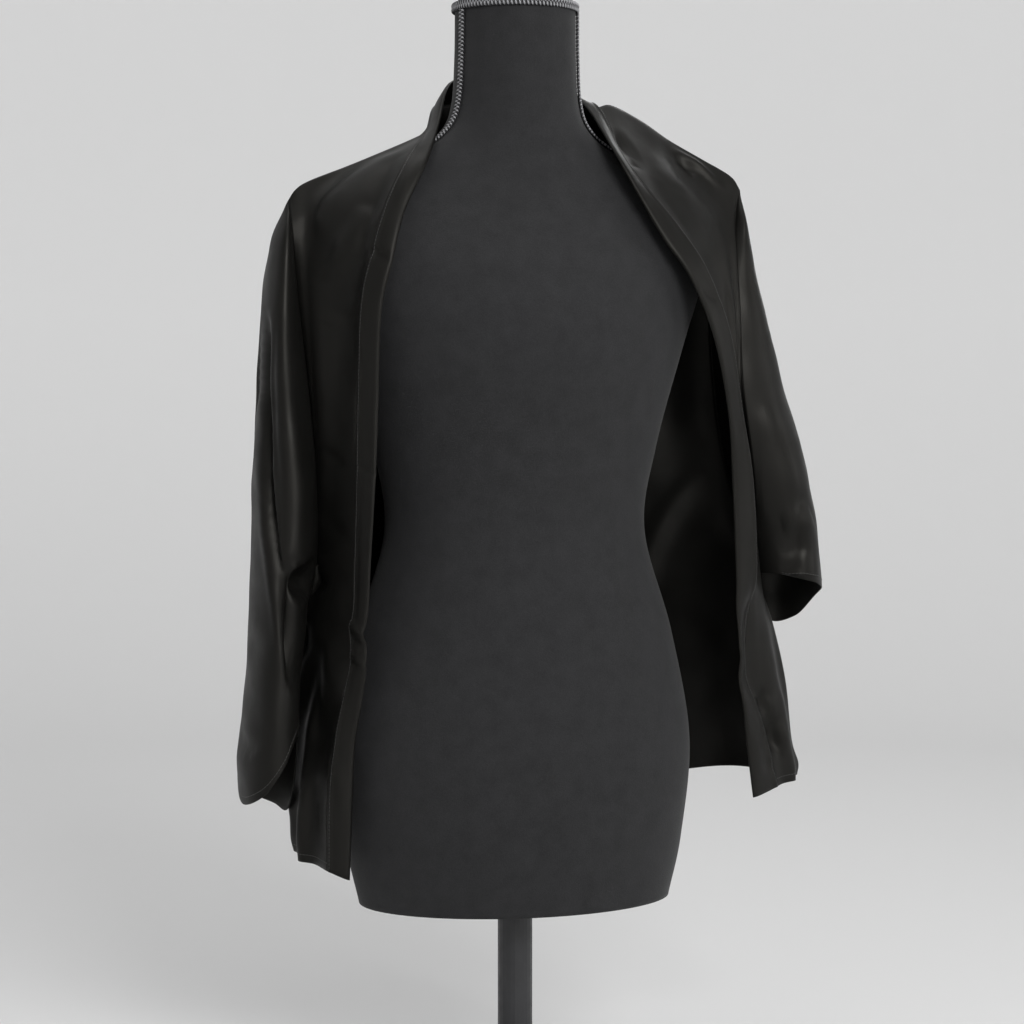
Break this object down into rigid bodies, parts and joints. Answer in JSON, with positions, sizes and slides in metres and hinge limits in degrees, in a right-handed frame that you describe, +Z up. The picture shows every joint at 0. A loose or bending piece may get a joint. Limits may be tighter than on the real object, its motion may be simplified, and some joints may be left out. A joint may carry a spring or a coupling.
{
  "type": "shrug on a dress form",
  "caption": "Open-front black satin shrug with dropped kimono sleeves and a narrow continuous neck band, hung on a limbless dress form with a pole and a round base.",
  "frame": {"origin": "on the floor, at the centre of the base's underside, on the form's axis", "axes": "+Z up along the pole, -Y to the form's front, -X to the wearer's right"},
  "size_m": [0.5608, 0.2865, 1.0143],
  "materials": {
    "satin": "soft satin sheen",
    "jersey": "matte knit",
    "braid": "matte braid",
    "stand": "satin black paint"
  },
  "bodies": {
    "root": {"shrug_back": "satin", "shrug_front_right": "satin", "shrug_front_left": "satin", "shrug_sleeve_right": "satin", "shrug_sleeve_left": "satin", "shrug_band_right": "satin", "shrug_band_left": "satin", "form_torso": "jersey", "form_neck_cap": "jersey", "form_braid_neck": "braid", "form_braid_right": "braid", "form_braid_left": "braid", "form_pole": "stand", "form_base": "stand"}
  },
  "joints": []
}
